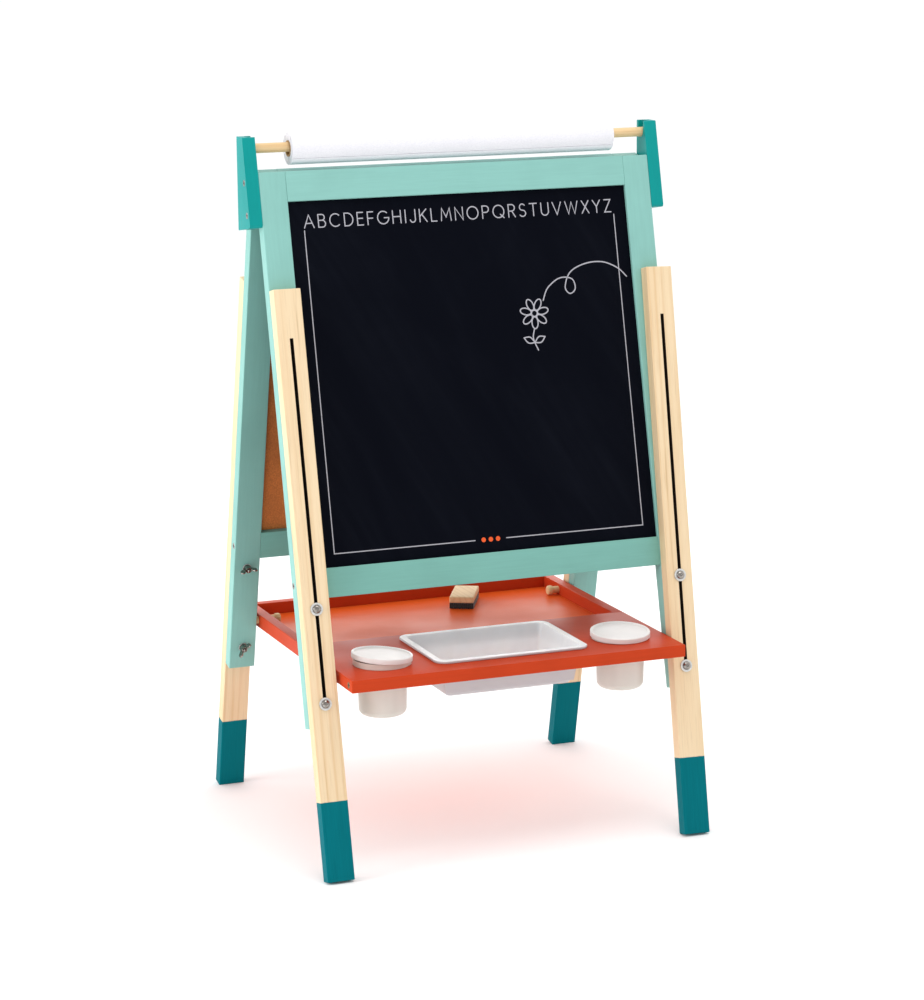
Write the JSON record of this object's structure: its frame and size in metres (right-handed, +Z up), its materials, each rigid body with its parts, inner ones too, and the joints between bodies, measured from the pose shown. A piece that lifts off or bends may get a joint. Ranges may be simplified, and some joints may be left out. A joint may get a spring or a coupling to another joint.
{
  "type": "kids_easel",
  "caption": "Folding wooden children's easel with a chalkboard, sliding legs, a paper roll and an orange tray holding cups, a tub and an eraser.",
  "frame": {"origin": "midway between the sides and between the two frames, on the floor", "axes": "+Z up, +X to the right seen from the chalkboard side, -Y towards a child standing at the chalkboard"},
  "size_m": [0.574, 0.4823, 0.9208],
  "materials": {
    "seafoam_paint": "satin paint",
    "teal_paint": "satin paint",
    "orange_paint": "satin paint",
    "pine": "clear lacquer",
    "dowel_wood": "sanded",
    "chalkboard": "matt",
    "hardboard": "raw",
    "zinc": "zinc plated",
    "plastic": "satin",
    "paper": "plain",
    "card": "plain",
    "felt": "napped"
  },
  "bodies": {
    "front_frame": {"front_stile_left": "seafoam_paint", "front_stile_right": "seafoam_paint", "front_top_rail": "seafoam_paint", "front_bottom_rail": "seafoam_paint", "front_frame_screws": "zinc", "front_rail_dowels": "dowel_wood", "front_leg_bolts": "zinc", "front_leg_washers": "zinc", "hinge_front_leaves": "zinc", "hinge_front_screws": "zinc", "hinge_pins": "zinc", "chalkboard": "chalkboard", "bracket_left": "teal_paint", "bracket_right": "teal_paint", "bracket_screws": "zinc", "front_rest_pegs": "dowel_wood"},
    "rear_frame": {"rear_stile_left": "seafoam_paint", "rear_stile_right": "seafoam_paint", "rear_top_rail": "seafoam_paint", "rear_bottom_rail": "seafoam_paint", "rear_frame_screws": "zinc", "rear_rail_dowels": "dowel_wood", "rear_leg_bolts": "zinc", "rear_leg_washers": "zinc", "hinge_rear_leaves": "zinc", "hinge_rear_screws": "zinc", "rear_board": "hardboard"},
    "front_leg_left": {"front_leg_left": "pine"},
    "front_leg_right": {"front_leg_right": "pine"},
    "front_upper_nut_left": {"front_upper_wing_nut_left": "zinc"},
    "front_upper_nut_right": {"front_upper_wing_nut_right": "zinc"},
    "front_lower_nut_left": {"front_lower_wing_nut_left": "zinc"},
    "front_lower_nut_right": {"front_lower_wing_nut_right": "zinc"},
    "rear_leg_left": {"rear_leg_left": "pine"},
    "rear_leg_right": {"rear_leg_right": "pine"},
    "rear_upper_nut_left": {"rear_upper_wing_nut_left": "zinc"},
    "rear_upper_nut_right": {"rear_upper_wing_nut_right": "zinc"},
    "rear_lower_nut_left": {"rear_lower_wing_nut_left": "zinc"},
    "rear_lower_nut_right": {"rear_lower_wing_nut_right": "zinc"},
    "roll_dowel": {"roll_dowel": "dowel_wood"},
    "paper_roll": {"paper_core": "card", "paper_roll": "paper"},
    "tray": {"tray_front_board": "orange_paint", "tray_rail_left": "orange_paint", "tray_rail_right": "orange_paint", "tray_rear_rail": "orange_paint", "tray_floor": "orange_paint", "tray_floor_screws": "zinc", "tray_screws": "zinc"},
    "rear_peg_left": {"tray_rear_peg_left": "dowel_wood"},
    "rear_peg_right": {"tray_rear_peg_right": "dowel_wood"},
    "cup_left": {"cup_left": "plastic"},
    "cup_right": {"cup_right": "plastic"},
    "cup_lid_left": {"cup_lid_left": "plastic"},
    "cup_lid_right": {"cup_lid_right": "plastic"},
    "storage_tub": {"storage_tub": "plastic"},
    "eraser": {"eraser_felt": "felt", "eraser_block": "pine"}
  },
  "joints": [
    {"name": "frame_fold", "type": "hinge", "parent": "front_frame", "child": "rear_frame", "pos_m": [0, 0, 0.85673], "axis": [-1, 0, 0], "range_deg": [0, 23]},
    {"name": "tray_lift", "type": "hinge", "parent": "rear_frame", "child": "tray", "pos_m": [0, 0.15585, 0.2485], "axis": [1, 0, 0], "range_deg": [-10, 0]},
    {"name": "rear_peg_pull_left", "type": "slide", "parent": "tray", "child": "rear_peg_left", "axis": [1, 0, 0], "range_m": [0, 0.042]},
    {"name": "rear_peg_pull_right", "type": "slide", "parent": "tray", "child": "rear_peg_right", "axis": [-1, 0, 0], "range_m": [0, 0.042]},
    {"name": "front_leg_slide_left", "type": "slide", "parent": "front_frame", "child": "front_leg_left", "axis": [0, -0.2284, -0.9736], "range_m": [0, 0.338]},
    {"name": "front_upper_nut_turn_left", "type": "hinge", "parent": "front_frame", "child": "front_upper_nut_left", "pos_m": [-0.252, -0.12287, 0.32781], "axis": [0, 0.9736, -0.2284], "continuous": true},
    {"name": "front_lower_nut_turn_left", "type": "hinge", "parent": "front_frame", "child": "front_lower_nut_left", "pos_m": [-0.252, -0.15015, 0.21147], "axis": [0, 0.9736, -0.2284], "continuous": true},
    {"name": "front_leg_slide_right", "type": "slide", "parent": "front_frame", "child": "front_leg_right", "axis": [-0.0274, -0.2283, -0.9732], "range_m": [0, 0.338]},
    {"name": "front_upper_nut_turn_right", "type": "hinge", "parent": "front_frame", "child": "front_upper_nut_right", "pos_m": [0.252, -0.12355, 0.32489], "axis": [0, 0.9736, -0.2284], "continuous": true},
    {"name": "front_lower_nut_turn_right", "type": "hinge", "parent": "front_frame", "child": "front_lower_nut_right", "pos_m": [0.24873, -0.15083, 0.20859], "axis": [0, 0.9736, -0.2284], "continuous": true},
    {"name": "rear_leg_slide_right", "type": "slide", "parent": "rear_frame", "child": "rear_leg_right", "axis": [0, 0.2284, -0.9736], "range_m": [0, 0.338]},
    {"name": "rear_upper_nut_turn_right", "type": "hinge", "parent": "rear_frame", "child": "rear_upper_nut_right", "pos_m": [0.252, 0.12287, 0.32781], "axis": [0, -0.9736, -0.2284], "continuous": true},
    {"name": "rear_lower_nut_turn_right", "type": "hinge", "parent": "rear_frame", "child": "rear_lower_nut_right", "pos_m": [0.252, 0.15015, 0.21147], "axis": [0, -0.9736, -0.2284], "continuous": true},
    {"name": "rear_leg_slide_left", "type": "slide", "parent": "rear_frame", "child": "rear_leg_left", "axis": [0, 0.2284, -0.9736], "range_m": [0, 0.338]},
    {"name": "rear_upper_nut_turn_left", "type": "hinge", "parent": "rear_frame", "child": "rear_upper_nut_left", "pos_m": [-0.252, 0.12287, 0.32781], "axis": [0, -0.9736, -0.2284], "continuous": true},
    {"name": "rear_lower_nut_turn_left", "type": "hinge", "parent": "rear_frame", "child": "rear_lower_nut_left", "pos_m": [-0.252, 0.15015, 0.21147], "axis": [0, -0.9736, -0.2284], "continuous": true},
    {"name": "dowel_lift", "type": "slide", "parent": "front_frame", "child": "roll_dowel", "axis": [0, 0, 1], "range_m": [0, 0.035]},
    {"name": "roll_turn", "type": "hinge", "parent": "roll_dowel", "child": "paper_roll", "pos_m": [0, 0.002, 0.90005], "axis": [1, 0, 0], "continuous": true},
    {"name": "cup_lift_left", "type": "slide", "parent": "tray", "child": "cup_left", "axis": [0, 0, 1], "range_m": [0, 0.05]},
    {"name": "lid_lift_left", "type": "slide", "parent": "cup_left", "child": "cup_lid_left", "axis": [0, 0, 1], "range_m": [0, 0.015]},
    {"name": "cup_lift_right", "type": "slide", "parent": "tray", "child": "cup_right", "axis": [0, 0, 1], "range_m": [0, 0.05]},
    {"name": "lid_lift_right", "type": "slide", "parent": "cup_right", "child": "cup_lid_right", "axis": [0, 0, 1], "range_m": [0, 0.015]},
    {"name": "tub_lift", "type": "slide", "parent": "tray", "child": "storage_tub", "axis": [0, 0, 1], "range_m": [0, 0.06]},
    {"name": "eraser_lift", "type": "slide", "parent": "tray", "child": "eraser", "axis": [0, 0, 1], "range_m": [0, 0.06]}
  ]
}
